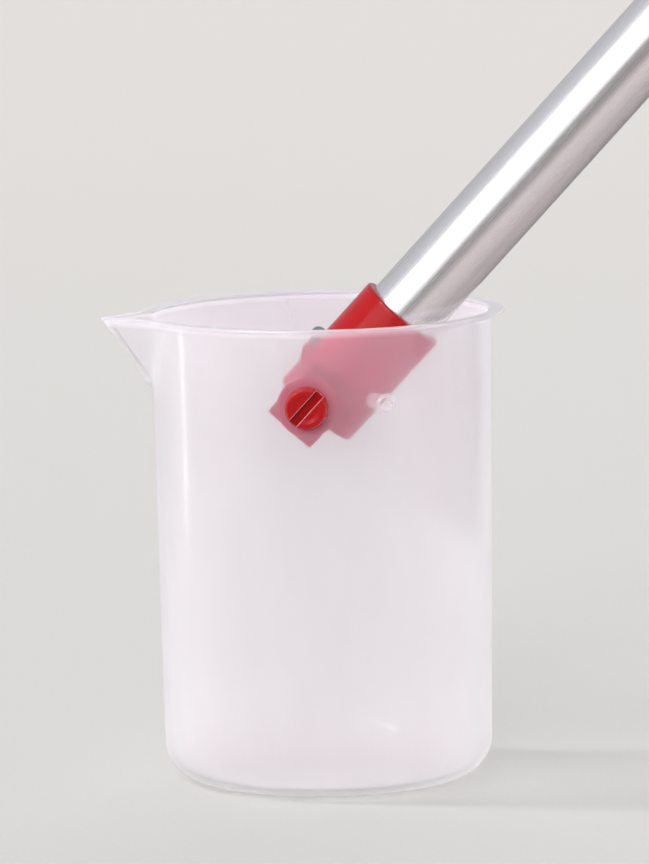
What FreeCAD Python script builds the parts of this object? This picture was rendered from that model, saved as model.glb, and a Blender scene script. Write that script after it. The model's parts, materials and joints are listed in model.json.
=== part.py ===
"""Adjustable-angle sampling beaker on a telescopic pole.

A one litre plastic beaker hangs on a clamp bracket.  One slotted screw goes through the beaker's
wall into the bracket and is its hinge.  A two-part telescopic pole stands in the bracket's socket.

Frame: the origin is the centre of the beaker's base, +Z is up, the screw is on the -Y side and the
pole leans towards +X.  Millimetres.

The pole's parts are drawn upright in a pole frame and then leaned over.  In the pole frame the
origin is on the screw's axis, x is across the pole, z is along it, and y is the same as outside.
"""
import FreeCAD, Part
import math
import os

from FreeCAD import Vector

# Beaker: a low-form one litre beaker
BEAKER_HEIGHT = 145.0
BODY_TOP_RADIUS = 52.5
BODY_BASE_RADIUS = 50.5
BASE_CORNER_RADIUS = 12.4
WALL = 1.6
FLOOR = 2.0
RIM_RADIUS = 56.2
RIM_THICKNESS = 1.8
RIM_ROUND = 0.7
RIM_FILLET = 0.9
MOUTH_ROUND = 1.5

# Spout: a pinched beak with straight sides and a straight keel
SPOUT_AZIMUTH = 193.8
SPOUT_REACH = 68.0
SPOUT_HALF_ANGLE = 43.0
SPOUT_SIDE_LENGTH = 30.0
SPOUT_ROOT_Z = 120.5
SPOUT_ROOT_RADIUS = 51.6
SPOUT_WALL_SHIFT = 2.3

# Hinge: the clamp screw, its washers and the stop peg
PIVOT_Z = 120.8
SCREW_RADIUS = 3.0
RUNNING_CLEARANCE = 0.05
SCREW_HEAD_BASE_RADIUS = 6.7
SCREW_HEAD_FACE_RADIUS = 5.9
SCREW_HEAD_HEIGHT = 3.4
SCREW_DISH_RADIUS = 4.1
SCREW_DISH_DEPTH = 0.5
SLOT_WIDTH = 2.9
SLOT_DEPTH = 2.2
SEAL_RADIUS = 6.0
SEAL_FACE_Y = -52.7
SADDLE_RADIUS = 9.25
SADDLE_FACE_Y = -48.4
FRICTION_WASHER_THICKNESS = 0.8
STOP_PEG_AZIMUTH = -63.0
STOP_PEG_Z = 121.1
STOP_PEG_SHANK_RADIUS = 2.0
STOP_PEG_BODY_RADIUS = 2.5
STOP_PEG_BODY_LENGTH = 9.2
STOP_PEG_HEAD_RADIUS = 3.45
STOP_PEG_HEAD_HEIGHT = 1.7

# Pole: how it stands, and its two tubes
POLE_TILT = 42.7
POLE_Y = -26.5
POLE_OFFSET = 2.75
LOWER_TUBE_RADIUS = 11.5
UPPER_TUBE_RADIUS = 14.0
TUBE_WALL = 1.2
LOWER_TUBE_START = 1.6
LOWER_TUBE_LENGTH = 640.0
UPPER_TUBE_LENGTH = 600.0

# Bracket: a socket for the pole and a tab for the screw, in the pole frame
TAB_LEFT = -8.0
TAB_RIGHT = 8.9
TAB_BOTTOM = -9.3
TAB_TOP = 9.3
TAB_THICKNESS = 6.4
SOCKET_RADIUS = 13.8
SOCKET_BOTTOM = -2.6
SOCKET_TOP = 37.6
SOCKET_FLOOR = 3.5
GUARD_BOTTOM = 6.6
GUARD_TOP = 12.4
GUARD_HEIGHT = 2.0
GUARD_RAMP = 3.2
GUARD_WIDTH = 11.0
EDGE_ROUND = 0.8
INSERT_RADIUS = 4.5
INSERT_LENGTH = 5.0

# Snap button that locks the pole in the socket
BUTTON_Z = 15.3
BUTTON_RADIUS = 2.4
BUTTON_FLANGE_RADIUS = 3.4
BUTTON_FLANGE_THICKNESS = 1.0
BUTTON_TIP_REACH = 17.1
BUTTON_GAP = 0.1
SPRING_THICKNESS = 0.6
SPRING_WIDTH = 6.0
SPRING_BEND_RADIUS = 3.0
SPRING_LEG = 24.0
SPRING_LEG_ANGLE = 16.0

# Twist lock at the lower end of the upper tube, measured from the lock's nose
LOCK_START = 168.0
LOCK_RING_RADIUS = 17.5
LOCK_RING_LENGTH = 24.0
LOCK_RING_NOSE = 3.0
LOCK_RING_GROOVES = 18
LOCK_GROOVE_RADIUS = 1.1
SPIGOT_RADIUS = 15.0
SPIGOT_START = 9.0
COLLET_START = 3.3
COLLET_FLANGE = 2.6
COLLET_END = 16.0
COLLET_FLANGE_RADIUS = 14.7
COLLET_WIDE_RADIUS = 14.0
COLLET_NARROW_RADIUS = 12.8
COLLET_GAP = 0.1
COLLET_SLIT = 2.0
COLLAR_RADIUS = 17.0
COLLAR_LENGTH = 26.0
COLLAR_THROAT_RADIUS = 12.0
WIPER_WIDTH = 1.4
WIPER_THICKNESS = 1.6
RIVET_RADIUS = 1.6
RIVET_HEAD_RADIUS = 2.6
RIVET_HEAD_HEIGHT = 0.9

# Grip, end cap and the bush that guides the tubes
GUIDE_BUSH_LENGTH = 20.0
GUIDE_BUSH_RADIUS = 12.75
GRIP_RADIUS = 16.0
GRIP_LENGTH = 126.0
GRIP_GROOVES = 5
GRIP_GROOVE_PITCH = 4.0
GRIP_GROOVE_DEPTH = 0.6
GRIP_GROOVE_WIDTH = 1.6
CAP_RADIUS = 15.6
CAP_PLUG_LENGTH = 22.0
CAP_LENGTH = 9.0
CAP_TONGUE_LENGTH = 19.0
CAP_TONGUE_THICKNESS = 8.0
CAP_TONGUE_WIDTH = 18.0
HANG_HOLE_RADIUS = 3.5

AXIS_Y = Vector(0, 1, 0)
AXIS_Z = Vector(0, 0, 1)
UPPER_TUBE_START = LOCK_START + LOCK_RING_LENGTH
UPPER_TUBE_END = UPPER_TUBE_START + UPPER_TUBE_LENGTH
TAB_FACE_Y = SADDLE_FACE_Y + RUNNING_CLEARANCE + FRICTION_WASHER_THICKNESS


# ---- helpers ----

def arc_edge(centre, radius, start_deg, end_deg):
    """Arc in the XZ plane round a (radius, height) centre, angles from +X towards +Z."""
    def point(angle):
        turn = math.radians(angle)
        return Vector(centre[0] + radius * math.cos(turn), 0, centre[1] + radius * math.sin(turn))
    return Part.Arc(point(start_deg), point((start_deg + end_deg) / 2), point(end_deg)).toShape()


def line_edge(start, end):
    """Straight edge in the XZ plane between two (radius, height) points."""
    return Part.makeLine(Vector(start[0], 0, start[1]), Vector(end[0], 0, end[1]))


def turned(edges):
    """Solid of revolution round Z of a closed outline of edges in the XZ plane."""
    outline = Part.Wire(Part.__sortEdges__(edges))
    return Part.Face(outline).revolve(Vector(0, 0, 0), AXIS_Z, 360)


def along_y(radius, y_start, y_end, x=0.0, z=0.0):
    """Round bar parallel to Y."""
    return Part.makeCylinder(radius, y_end - y_start, Vector(x, y_start, z), AXIS_Y)


def on_pole(radius, z_start, z_end):
    """Round bar on the pole's axis, in the pole frame."""
    return Part.makeCylinder(radius, z_end - z_start, Vector(POLE_OFFSET, POLE_Y, z_start), AXIS_Z)


def pole_ring(outer, inner, z_start, z_end):
    """Plain ring on the pole's axis, in the pole frame."""
    return on_pole(outer, z_start, z_end).cut(on_pole(inner, z_start - 1, z_end + 1))


def pole_cone(radius_start, radius_end, z_start, z_end):
    """Cone on the pole's axis, in the pole frame."""
    foot = Vector(POLE_OFFSET, POLE_Y, z_start)
    return Part.makeCone(radius_start, radius_end, z_end - z_start, foot, AXIS_Z)


def across_pole(radius, reach_start, reach_end, z, turn=180.0):
    """Round bar square to the pole's axis, from one distance out of it to another."""
    way = Vector(math.cos(math.radians(turn)), math.sin(math.radians(turn)), 0)
    foot = Vector(POLE_OFFSET, POLE_Y, z) + way * reach_start
    return Part.makeCylinder(radius, reach_end - reach_start, foot, way)


def rounded(shape, radius, wanted):
    """Shape with a fillet on each edge that wanted(edge) picks."""
    edges = [edge for edge in shape.Edges if wanted(edge)]
    return shape.makeFillet(radius, edges)


def edge_is_round(edge, radius, z):
    """True for a full circle of that radius at that height."""
    curve = edge.Curve
    if not isinstance(curve, Part.Circle):
        return False
    return abs(curve.Radius - radius) < 0.01 and abs(edge.CenterOfMass.z - z) < 0.01


def lean(shape):
    """Place a shape drawn in the pole frame."""
    placed = shape.copy()
    turn = FreeCAD.Rotation(AXIS_Y, POLE_TILT)
    placed.Placement = FreeCAD.Placement(Vector(0, 0, PIVOT_Z), turn)
    return placed


# ---- beaker ----

def outer_solid():
    """Outside of the beaker without its spout: base, tapered wall and flanged rim."""
    corner = BASE_CORNER_RADIUS
    under_rim = BEAKER_HEIGHT - RIM_THICKNESS
    top = BEAKER_HEIGHT
    wall_top = (BODY_TOP_RADIUS, under_rim - RIM_FILLET)
    fillet_centre = (BODY_TOP_RADIUS + RIM_FILLET, under_rim - RIM_FILLET)
    edge_inner = RIM_RADIUS - RIM_ROUND
    return turned([
        line_edge((0, 0), (BODY_BASE_RADIUS - corner, 0)),
        arc_edge((BODY_BASE_RADIUS - corner, corner), corner, 270, 360),
        line_edge((BODY_BASE_RADIUS, corner), wall_top),
        arc_edge(fillet_centre, RIM_FILLET, 180, 90),
        line_edge((fillet_centre[0], under_rim), (edge_inner, under_rim)),
        arc_edge((edge_inner, under_rim + RIM_ROUND), RIM_ROUND, 270, 360),
        line_edge((RIM_RADIUS, under_rim + RIM_ROUND), (RIM_RADIUS, top - RIM_ROUND)),
        arc_edge((edge_inner, top - RIM_ROUND), RIM_ROUND, 0, 90),
        line_edge((edge_inner, top), (0, top)),
        line_edge((0, top), (0, 0)),
    ])


def cavity_solid():
    """Hollow of the beaker without its spout, opened out at the mouth."""
    top_radius = BODY_TOP_RADIUS - WALL
    base_radius = BODY_BASE_RADIUS - WALL
    corner = BASE_CORNER_RADIUS - WALL
    top = BEAKER_HEIGHT
    mouth_radius = top_radius + MOUTH_ROUND
    return turned([
        line_edge((0, FLOOR), (base_radius - corner, FLOOR)),
        arc_edge((base_radius - corner, FLOOR + corner), corner, 270, 360),
        line_edge((base_radius, FLOOR + corner), (top_radius, top - MOUTH_ROUND)),
        arc_edge((mouth_radius, top - MOUTH_ROUND), MOUTH_ROUND, 180, 90),
        line_edge((mouth_radius, top), (mouth_radius, top + 1)),
        line_edge((mouth_radius, top + 1), (0, top + 1)),
        line_edge((0, top + 1), (0, FLOOR)),
    ])


def beak(shift, top):
    """Four-sided beak pointing to +X, its tip moved in by shift and its top at height top."""
    half = math.radians(SPOUT_HALF_ANGLE)
    side_x = SPOUT_REACH - shift - SPOUT_SIDE_LENGTH * math.cos(half)
    side_y = SPOUT_SIDE_LENGTH * math.sin(half)
    rise = (top - SPOUT_ROOT_Z) / (BEAKER_HEIGHT - SPOUT_ROOT_Z)
    root = Vector(SPOUT_ROOT_RADIUS - shift, 0, SPOUT_ROOT_Z)
    tip, left, right = [
        root + (corner - root) * rise
        for corner in (
            Vector(SPOUT_REACH - shift, 0, BEAKER_HEIGHT),
            Vector(side_x, side_y, BEAKER_HEIGHT),
            Vector(side_x, -side_y, BEAKER_HEIGHT),
        )
    ]
    faces = [
        Part.Face(Part.makePolygon([a, b, c, a]))
        for a, b, c in ((tip, left, right), (tip, root, left), (tip, right, root), (left, root, right))
    ]
    solid = Part.Solid(Part.Shell(faces))
    if solid.Volume < 0:
        solid.reverse()
    solid.rotate(Vector(0, 0, 0), AXIS_Z, SPOUT_AZIMUTH)
    return solid


def stop_peg_bar(radius, start, end):
    """Round bar along the stop peg's axis, which points at the beaker's middle."""
    turn = math.radians(STOP_PEG_AZIMUTH)
    way = Vector(math.cos(turn), math.sin(turn), 0)
    foot = way * start + Vector(0, 0, STOP_PEG_Z)
    return Part.makeCylinder(radius, end - start, foot, way)


def make_beaker(outside, hollow):
    """Moulded beaker with its spout, the screw's hole and the stop peg's hole."""
    shell = outside.fuse(beak(0.0, BEAKER_HEIGHT))
    shell = shell.cut(hollow)
    shell = shell.cut(beak(SPOUT_WALL_SHIFT, BEAKER_HEIGHT + 1))
    shell = shell.cut(along_y(SCREW_RADIUS + RUNNING_CLEARANCE, -60, -40, z=PIVOT_Z))
    shell = shell.cut(stop_peg_bar(STOP_PEG_SHANK_RADIUS, 40, 60))
    return shell.removeSplitter()


def make_stop_peg(outside, hollow):
    """Push-in peg: a domed head outside, a shank in the wall and a thicker stop inside."""
    wall_outer = BODY_TOP_RADIUS
    head_centre = Vector(0, 0, wall_outer - 0.6)
    head = Part.makeSphere(STOP_PEG_HEAD_RADIUS, head_centre)
    squeeze = FreeCAD.Matrix()
    squeeze.A33 = STOP_PEG_HEAD_HEIGHT / STOP_PEG_HEAD_RADIUS
    squeeze.A34 = head_centre.z * (1 - squeeze.A33)
    head = head.transformGeometry(squeeze)
    head.rotate(Vector(0, 0, 0), AXIS_Y, 90)
    head.rotate(Vector(0, 0, 0), AXIS_Z, STOP_PEG_AZIMUTH)
    head.translate(Vector(0, 0, STOP_PEG_Z))
    head = head.cut(outside)
    inner_end = BODY_TOP_RADIUS - WALL - STOP_PEG_BODY_LENGTH
    shank = stop_peg_bar(STOP_PEG_SHANK_RADIUS, inner_end, wall_outer - 0.1)
    stop = stop_peg_bar(STOP_PEG_BODY_RADIUS, inner_end, wall_outer)
    return head.fuse([shank, stop.common(hollow)]).removeSplitter()


# ---- hinge ----

def make_head_seal(outside):
    """Soft washer between the screw's head and the curved wall."""
    disc = along_y(SEAL_RADIUS, SEAL_FACE_Y, -50, z=PIVOT_Z)
    bore = along_y(SCREW_RADIUS + RUNNING_CLEARANCE, SEAL_FACE_Y - 1, -49, z=PIVOT_Z)
    return disc.cut(bore).cut(outside)


def make_saddle_washer(hollow):
    """Washer that is curved to the inside of the wall and flat towards the bracket."""
    disc = along_y(SADDLE_RADIUS, -53, SADDLE_FACE_Y, z=PIVOT_Z)
    bore = along_y(SCREW_RADIUS + RUNNING_CLEARANCE, -54, SADDLE_FACE_Y + 1, z=PIVOT_Z)
    return disc.common(hollow).cut(bore)


def make_friction_washer():
    """Thin flat washer on the bracket's tab, in the pole frame."""
    front = SADDLE_FACE_Y + RUNNING_CLEARANCE
    disc = along_y(SADDLE_RADIUS - 1, front, TAB_FACE_Y)
    bore = along_y(SCREW_RADIUS + RUNNING_CLEARANCE, front - 1, TAB_FACE_Y + 1)
    return disc.cut(bore)


def make_pivot_screw():
    """Clamp screw with a dished head and one wide slot, in the pole frame."""
    seat = SEAL_FACE_Y - RUNNING_CLEARANCE
    face = seat - SCREW_HEAD_HEIGHT
    head = Part.makeCone(SCREW_HEAD_FACE_RADIUS, SCREW_HEAD_BASE_RADIUS, SCREW_HEAD_HEIGHT,
                         Vector(0, face, 0), AXIS_Y)
    head = head.cut(along_y(SCREW_DISH_RADIUS, face - 1, face + SCREW_DISH_DEPTH))
    slot = Part.makeBox(SLOT_WIDTH, SLOT_DEPTH + 1, 2 * SCREW_HEAD_BASE_RADIUS + 2,
                        Vector(-SLOT_WIDTH / 2, face - 1, -SCREW_HEAD_BASE_RADIUS - 1))
    shank = along_y(SCREW_RADIUS, seat - 0.5, TAB_FACE_Y + INSERT_LENGTH)
    return head.cut(slot).fuse(shank).removeSplitter()


def make_threaded_insert():
    """Brass insert in the bracket's tab, in the pole frame."""
    start = TAB_FACE_Y + 0.3
    bush = along_y(INSERT_RADIUS, start, start + INSERT_LENGTH)
    return bush.cut(along_y(SCREW_RADIUS + RUNNING_CLEARANCE, start - 1, start + INSERT_LENGTH + 1))


# ---- bracket, in the pole frame ----

def button_guard():
    """Ridge on the socket's side, below the snap button, that keeps it from being knocked."""
    side = POLE_OFFSET - SOCKET_RADIUS
    outline = Part.makePolygon([
        Vector(side + 3, POLE_Y - GUARD_WIDTH / 2, GUARD_BOTTOM),
        Vector(side, POLE_Y - GUARD_WIDTH / 2, GUARD_BOTTOM),
        Vector(side - GUARD_HEIGHT, POLE_Y - GUARD_WIDTH / 2, GUARD_BOTTOM + GUARD_RAMP),
        Vector(side - GUARD_HEIGHT, POLE_Y - GUARD_WIDTH / 2, GUARD_TOP),
        Vector(side + 3, POLE_Y - GUARD_WIDTH / 2, GUARD_TOP),
        Vector(side + 3, POLE_Y - GUARD_WIDTH / 2, GUARD_BOTTOM),
    ])
    ridge = Part.Face(outline).extrude(Vector(0, GUARD_WIDTH, 0))
    return rounded(ridge, EDGE_ROUND, lambda edge: edge.CenterOfMass.x < side - GUARD_HEIGHT + 0.1)


def make_bracket():
    """Moulded bracket: round socket, square tab in front of it, and the button's guard."""
    socket = on_pole(SOCKET_RADIUS, SOCKET_BOTTOM, SOCKET_TOP)
    socket = rounded(socket, EDGE_ROUND, lambda edge: isinstance(edge.Curve, Part.Circle))
    tab = Part.makeBox(TAB_RIGHT - TAB_LEFT, TAB_THICKNESS, TAB_TOP - TAB_BOTTOM,
                       Vector(TAB_LEFT, TAB_FACE_Y, TAB_BOTTOM))
    front = TAB_FACE_Y + 0.01
    tab = rounded(tab, EDGE_ROUND, lambda edge: edge.CenterOfMass.y > front and edge.Length < TAB_THICKNESS + 1)
    neck = Part.makeBox(TAB_RIGHT - TAB_LEFT, POLE_Y - TAB_FACE_Y - TAB_THICKNESS + 1, TAB_TOP - SOCKET_BOTTOM,
                        Vector(TAB_LEFT, TAB_FACE_Y + TAB_THICKNESS - 1, SOCKET_BOTTOM))
    body = socket.fuse([tab, neck, button_guard()])
    bore = on_pole(LOWER_TUBE_RADIUS + RUNNING_CLEARANCE, SOCKET_BOTTOM + SOCKET_FLOOR, SOCKET_TOP + 5)
    insert = along_y(INSERT_RADIUS, TAB_FACE_Y - 1, TAB_FACE_Y + 0.3 + INSERT_LENGTH)
    button_hole = across_pole(BUTTON_RADIUS + BUTTON_GAP, 5, SOCKET_RADIUS + GUARD_HEIGHT + 5, BUTTON_Z)
    return body.cut([bore, insert, button_hole]).removeSplitter()


# ---- pole, in the pole frame ----

def make_lower_tube():
    """Thin tube that stands in the socket, with the snap button's hole."""
    tube = pole_ring(LOWER_TUBE_RADIUS, LOWER_TUBE_RADIUS - TUBE_WALL, LOWER_TUBE_START,
                     LOWER_TUBE_START + LOWER_TUBE_LENGTH)
    return tube.cut(across_pole(BUTTON_RADIUS + BUTTON_GAP, 5, LOWER_TUBE_RADIUS + 2, BUTTON_Z))


def make_foot_plug():
    """Plug that keeps liquid out of the lower tube."""
    return on_pole(LOWER_TUBE_RADIUS - TUBE_WALL, LOWER_TUBE_START, LOWER_TUBE_START + 6)


def make_snap_button():
    """Domed button with a flange that rests against the inside of the tube."""
    flange_end = LOWER_TUBE_RADIUS - TUBE_WALL - BUTTON_GAP - 0.6
    flange = across_pole(BUTTON_FLANGE_RADIUS, flange_end - BUTTON_FLANGE_THICKNESS, flange_end, BUTTON_Z)
    stem_end = BUTTON_TIP_REACH - BUTTON_RADIUS
    stem = across_pole(BUTTON_RADIUS, flange_end - 0.2, stem_end, BUTTON_Z)
    dome = Part.makeSphere(BUTTON_RADIUS, Vector(POLE_OFFSET - stem_end, POLE_Y, BUTTON_Z))
    return flange.fuse([stem, dome]).removeSplitter()


def make_button_spring():
    """Bent leaf spring: one leg pushes the button out, the other stands on the far wall."""
    flange_back = LOWER_TUBE_RADIUS - TUBE_WALL - BUTTON_GAP - 0.6 - BUTTON_FLANGE_THICKNESS
    angle = math.radians(SPRING_LEG_ANGLE)
    half = SPRING_THICKNESS / 2
    bend_x = POLE_OFFSET + 0.4
    middle = SPRING_BEND_RADIUS - half
    leg_foot_x = POLE_OFFSET - flange_back + half + 0.15
    leg = (bend_x - middle * math.cos(angle) - leg_foot_x) / math.sin(angle)
    bend_z = BUTTON_Z - 2.0 + leg * math.cos(angle) - middle * math.sin(angle)
    bend = Part.makeCylinder(SPRING_BEND_RADIUS, SPRING_WIDTH, Vector(bend_x, POLE_Y - SPRING_WIDTH / 2, bend_z),
                             AXIS_Y)
    bend = bend.cut(Part.makeCylinder(SPRING_BEND_RADIUS - SPRING_THICKNESS, SPRING_WIDTH + 2,
                                      Vector(bend_x, POLE_Y - SPRING_WIDTH / 2 - 1, bend_z), AXIS_Y))
    lower = Part.makeBox(20, SPRING_WIDTH + 2, 10,
                         Vector(bend_x - 10, POLE_Y - SPRING_WIDTH / 2 - 1, bend_z + middle * math.sin(angle) - 10))
    legs = []
    for side in (-1, 1):
        strip = Part.makeBox(SPRING_THICKNESS, SPRING_WIDTH, leg, Vector(-half, POLE_Y - SPRING_WIDTH / 2, -leg))
        strip.rotate(Vector(0, 0, 0), AXIS_Y, -side * SPRING_LEG_ANGLE)
        strip.translate(Vector(bend_x + side * middle * math.cos(angle), 0, bend_z + middle * math.sin(angle)))
        legs.append(strip)
    return bend.cut(lower).fuse(legs).removeSplitter()


def make_guide_bush():
    """Bush on the top of the lower tube; it slides in the upper tube and stops it coming off."""
    top = LOWER_TUBE_START + LOWER_TUBE_LENGTH
    return pole_ring(GUIDE_BUSH_RADIUS, LOWER_TUBE_RADIUS, top - GUIDE_BUSH_LENGTH, top)


def make_upper_tube():
    """Thick tube that slides over the lower one, with the collar's two rivet holes."""
    tube = pole_ring(UPPER_TUBE_RADIUS, UPPER_TUBE_RADIUS - TUBE_WALL, UPPER_TUBE_START, UPPER_TUBE_END)
    for turn in (90.0, 270.0):
        tube = tube.cut(across_pole(RIVET_RADIUS, 5, 20, UPPER_TUBE_START + COLLAR_LENGTH / 2, turn))
    return tube


def make_collar_rivets():
    """Two rivets that hold the collar to the upper tube."""
    height = UPPER_TUBE_START + COLLAR_LENGTH / 2
    rivets = []
    for turn in (90.0, 270.0):
        shank = across_pole(RIVET_RADIUS, UPPER_TUBE_RADIUS - TUBE_WALL + 0.3, COLLAR_RADIUS, height, turn)
        head = across_pole(RIVET_HEAD_RADIUS, COLLAR_RADIUS - 0.3, COLLAR_RADIUS + RIVET_HEAD_HEIGHT, height, turn)
        rivets.append(shank.fuse(head).removeSplitter())
    return Part.makeCompound(rivets)


def make_collar():
    """Collar on the upper tube's end, with the cone that squeezes the collet."""
    spigot = on_pole(SPIGOT_RADIUS, LOCK_START + SPIGOT_START, UPPER_TUBE_START + 1)
    sleeve = on_pole(COLLAR_RADIUS, UPPER_TUBE_START + 0.3, UPPER_TUBE_START + COLLAR_LENGTH)
    sleeve = rounded(sleeve, EDGE_ROUND, lambda edge: isinstance(edge.Curve, Part.Circle))
    cone = pole_cone(COLLET_WIDE_RADIUS + COLLET_GAP, COLLET_NARROW_RADIUS + COLLET_GAP,
                     LOCK_START + SPIGOT_START, LOCK_START + COLLET_END + 0.5)
    cuts = [
        cone,
        on_pole(COLLAR_THROAT_RADIUS, LOCK_START, UPPER_TUBE_START + 1),
        on_pole(UPPER_TUBE_RADIUS, UPPER_TUBE_START, UPPER_TUBE_START + COLLAR_LENGTH + 1),
    ]
    for turn in (90.0, 270.0):
        height = UPPER_TUBE_START + COLLAR_LENGTH / 2
        cuts.append(across_pole(RIVET_RADIUS, 5, 25, height, turn))
        cuts.append(across_pole(RIVET_HEAD_RADIUS, COLLAR_RADIUS - 0.3, COLLAR_RADIUS + 3, height, turn))
    return spigot.fuse(sleeve).cut(cuts).removeSplitter()


def make_collet():
    """Split tapered ring that grips the lower tube."""
    start = LOCK_START + COLLET_START
    flange = on_pole(COLLET_FLANGE_RADIUS, start, start + COLLET_FLANGE)
    neck = on_pole(COLLET_WIDE_RADIUS, start, LOCK_START + SPIGOT_START)
    taper = pole_cone(COLLET_WIDE_RADIUS, COLLET_NARROW_RADIUS, LOCK_START + SPIGOT_START, LOCK_START + COLLET_END)
    ring = flange.fuse([neck, taper])
    bore = on_pole(LOWER_TUBE_RADIUS + RUNNING_CLEARANCE, start - 1, LOCK_START + COLLET_END + 1)
    slit = Part.makeBox(LOCK_RING_RADIUS, COLLET_SLIT, COLLET_END + 2,
                        Vector(POLE_OFFSET, POLE_Y - COLLET_SLIT / 2, LOCK_START))
    return ring.cut([bore, slit]).removeSplitter()


def make_lock_ring():
    """Ring that is turned by hand to squeeze the collet, with grip grooves."""
    end = LOCK_START + LOCK_RING_LENGTH
    ring = on_pole(LOCK_RING_RADIUS, LOCK_START, end)
    ring = rounded(ring, 1.5, lambda edge: edge_is_round(edge, LOCK_RING_RADIUS, LOCK_START))
    ring = rounded(ring, EDGE_ROUND, lambda edge: edge_is_round(edge, LOCK_RING_RADIUS, end))
    cuts = [
        on_pole(LOWER_TUBE_RADIUS + 0.3, LOCK_START - 1, end),
        on_pole(SPIGOT_RADIUS + RUNNING_CLEARANCE, LOCK_START + LOCK_RING_NOSE, end + 1),
        on_pole(LOWER_TUBE_RADIUS + WIPER_WIDTH, LOCK_START + 0.6, LOCK_START + 0.6 + WIPER_THICKNESS),
    ]
    for index in range(LOCK_RING_GROOVES):
        turn = 2 * math.pi * index / LOCK_RING_GROOVES
        foot = Vector(POLE_OFFSET + (LOCK_RING_RADIUS + 0.4) * math.cos(turn),
                      POLE_Y + (LOCK_RING_RADIUS + 0.4) * math.sin(turn), LOCK_START + 3)
        cuts.append(Part.makeCylinder(LOCK_GROOVE_RADIUS, LOCK_RING_LENGTH, foot, AXIS_Z))
    return ring.cut(cuts).removeSplitter()


def make_wiper_ring():
    """Soft ring in the lock ring's nose that keeps liquid and grit out."""
    start = LOCK_START + 0.6
    return pole_ring(LOWER_TUBE_RADIUS + WIPER_WIDTH, LOWER_TUBE_RADIUS + RUNNING_CLEARANCE, start,
                     start + WIPER_THICKNESS)


def make_grip_sleeve():
    """Soft grip on the upper tube, with rings of grooves at both ends."""
    end = UPPER_TUBE_END - 2
    start = end - GRIP_LENGTH
    sleeve = on_pole(GRIP_RADIUS, start, end)
    sleeve = rounded(sleeve, EDGE_ROUND, lambda edge: isinstance(edge.Curve, Part.Circle))
    cuts = [on_pole(UPPER_TUBE_RADIUS, start - 1, end + 1)]
    for index in range(GRIP_GROOVES):
        step = (index + 0.8) * GRIP_GROOVE_PITCH
        for low in (start + step, end - step - GRIP_GROOVE_WIDTH):
            cuts.append(pole_ring(GRIP_RADIUS + 1, GRIP_RADIUS - GRIP_GROOVE_DEPTH, low, low + GRIP_GROOVE_WIDTH))
    return sleeve.cut(cuts).removeSplitter()


def make_end_cap():
    """Cap plugged into the upper tube, with a tongue and a hanging hole."""
    plug = on_pole(UPPER_TUBE_RADIUS - TUBE_WALL, UPPER_TUBE_END - CAP_PLUG_LENGTH, UPPER_TUBE_END + 1)
    head = on_pole(CAP_RADIUS, UPPER_TUBE_END, UPPER_TUBE_END + CAP_LENGTH)
    head = rounded(head, 2.0, lambda edge: edge_is_round(edge, CAP_RADIUS, UPPER_TUBE_END + CAP_LENGTH))
    hole_z = UPPER_TUBE_END + CAP_LENGTH + CAP_TONGUE_LENGTH - CAP_TONGUE_WIDTH / 2
    tongue_y = POLE_Y - CAP_TONGUE_THICKNESS / 2
    tongue = Part.makeBox(CAP_TONGUE_WIDTH, CAP_TONGUE_THICKNESS, hole_z - UPPER_TUBE_END - 1,
                          Vector(POLE_OFFSET - CAP_TONGUE_WIDTH / 2, tongue_y, UPPER_TUBE_END + 1))
    round_end = along_y(CAP_TONGUE_WIDTH / 2, tongue_y, tongue_y + CAP_TONGUE_THICKNESS, POLE_OFFSET, hole_z)
    hole = along_y(HANG_HOLE_RADIUS, tongue_y - 1, tongue_y + CAP_TONGUE_THICKNESS + 1, POLE_OFFSET, hole_z)
    return plug.fuse([head, tongue, round_end]).cut(hole).removeSplitter()


# ---- export ----

def build():
    """Every node, placed in the outside frame."""
    outside = outer_solid()
    hollow = cavity_solid()
    nodes = {
        "beaker": make_beaker(outside, hollow),
        "stop_peg": make_stop_peg(outside, hollow),
        "head_seal": make_head_seal(outside),
        "saddle_washer": make_saddle_washer(hollow),
    }
    on_the_pole = {
        "friction_washer": make_friction_washer(),
        "pivot_screw": make_pivot_screw(),
        "threaded_insert": make_threaded_insert(),
        "bracket": make_bracket(),
        "foot_plug": make_foot_plug(),
        "snap_button": make_snap_button(),
        "button_spring": make_button_spring(),
        "lower_tube": make_lower_tube(),
        "guide_bush": make_guide_bush(),
        "upper_tube": make_upper_tube(),
        "collar": make_collar(),
        "collar_rivets": make_collar_rivets(),
        "collet": make_collet(),
        "lock_ring": make_lock_ring(),
        "wiper_ring": make_wiper_ring(),
        "grip_sleeve": make_grip_sleeve(),
        "end_cap": make_end_cap(),
    }
    nodes.update({name: lean(shape) for name, shape in on_the_pole.items()})
    return nodes


os.makedirs("parts", exist_ok=True)
for name, shape in build().items():
    shape.exportStep("parts/" + name + ".step")
    print(name, len(shape.Solids), round(shape.Volume, 1), shape.isValid())
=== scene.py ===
"""Adjustable-angle sampling beaker on a telescopic pole: its looks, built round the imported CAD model.

Metres, in the CAD frame: the origin is the centre of the beaker's base, +Z is up, the clamp screw is on
the -Y side and the pole leans towards +X.
"""
import json
import math

import bpy
from mathutils import Matrix, Vector


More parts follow.
